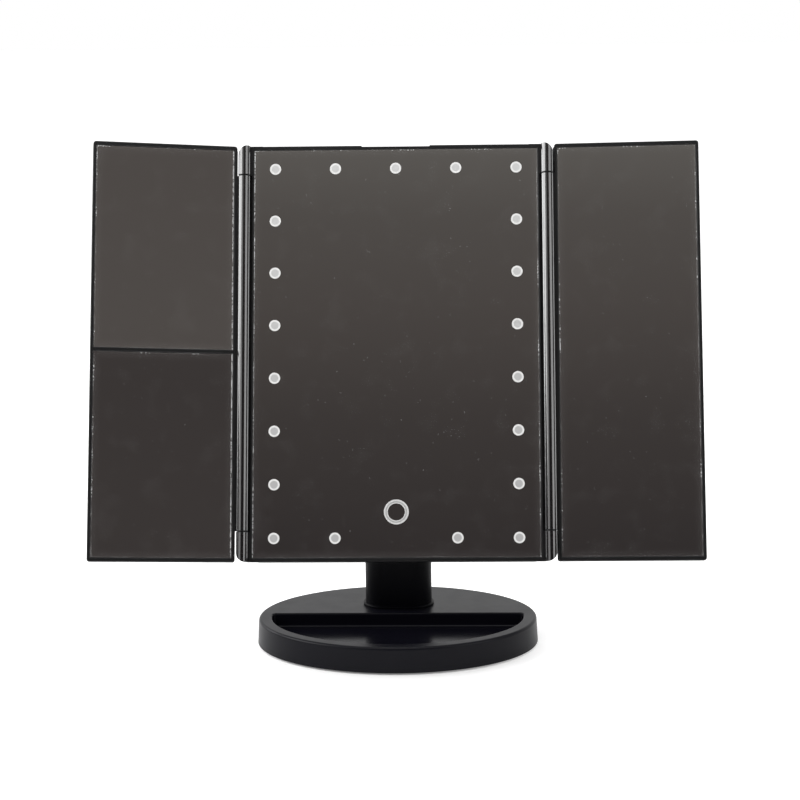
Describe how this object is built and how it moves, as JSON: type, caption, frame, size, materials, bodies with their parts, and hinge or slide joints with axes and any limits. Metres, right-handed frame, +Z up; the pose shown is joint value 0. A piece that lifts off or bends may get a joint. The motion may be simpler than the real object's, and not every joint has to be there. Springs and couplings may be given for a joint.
{
  "type": "folding lighted makeup mirror",
  "caption": "Folding winged makeup mirror with edge lights and a touch ring; the wings fold shut over the middle panel, which tilts on a column over an oval tray base.",
  "frame": {"origin": "middle of the oval base, on the surface that its pad rests on", "axes": "+Z up, +X across the mirrors to the user's right, +Y away from the user"},
  "size_m": [0.3451, 0.136, 0.2807],
  "materials": {
    "frame_plastic": "satin moulded black",
    "back_plastic": "fine spark-eroded black",
    "base_plastic": "fine spark-eroded black",
    "column_plastic": "satin moulded black",
    "mirror_glass": "silvered glass",
    "light_window": "etched translucent white",
    "mounting_tape": "thin adhesive tape",
    "circuit_board": "green solder mask",
    "led_chip": "phosphor yellow",
    "steel": "zinc plated",
    "ballast_steel": "plain pressed steel",
    "spring_metal": "nickel plated",
    "cell_can": "plain unprinted sleeve",
    "switch_plastic": "moulded black",
    "pad_foam": "soft closed-cell foam"
  },
  "bodies": {
    "base": {"base_shell": "base_plastic", "base_bottom_plate": "base_plastic", "base_weight": "ballast_steel", "base_pad": "pad_foam", "base_screws": "steel", "column": "column_plastic", "column_screws": "steel"},
    "mirror_head": {"centre_frame": "frame_plastic", "centre_rear_cover": "back_plastic", "centre_mirror": "mirror_glass", "led_windows": "light_window", "touch_ring": "light_window", "mirror_tape": "mounting_tape", "led_board": "circuit_board", "led_chips": "led_chip", "touch_board": "circuit_board", "control_board": "circuit_board", "usb_socket": "spring_metal", "power_switch_body": "switch_plastic", "battery_contacts": "spring_metal", "batteries": "cell_can", "rear_cover_screws": "steel", "tilt_axle": "steel", "tilt_nut": "steel", "tilt_washers": "spring_metal", "left_hinge_pins": "steel", "right_hinge_pins": "steel"},
    "switch_slider": {"power_switch_slider": "switch_plastic"},
    "door": {"battery_door": "back_plastic"},
    "left_wing": {"left_wing_frame": "frame_plastic", "left_wing_back": "back_plastic", "left_upper_mirror": "mirror_glass", "left_lower_mirror": "mirror_glass", "left_wing_tape": "mounting_tape"},
    "right_wing": {"right_wing_frame": "frame_plastic", "right_wing_back": "back_plastic", "right_mirror": "mirror_glass", "right_wing_tape": "mounting_tape"}
  },
  "joints": [
    {"name": "head_tilt", "type": "hinge", "parent": "base", "child": "mirror_head", "pos_m": [0, 0.0233, 0.0636], "axis": [-1, 0, 0], "range_deg": [-23.5, 71.5]},
    {"name": "left_wing_fold", "type": "hinge", "parent": "mirror_head", "child": "left_wing", "pos_m": [-0.08665, -0.01049, 0.0496], "axis": [0, 0.3173, 0.9483], "range_deg": [-12, 168]},
    {"name": "right_wing_fold", "type": "hinge", "parent": "mirror_head", "child": "right_wing", "pos_m": [0.08665, -0.01049, 0.0496], "axis": [0, -0.3173, -0.9483], "range_deg": [-3.4, 176.6]},
    {"name": "battery_door_slide", "type": "slide", "parent": "mirror_head", "child": "door", "axis": [0, 0.3173, 0.9483], "range_m": [0, 0.06]},
    {"name": "power_switch_slide", "type": "slide", "parent": "mirror_head", "child": "switch_slider", "axis": [0, 0.3173, 0.9483], "range_m": [0, 0.003]}
  ]
}
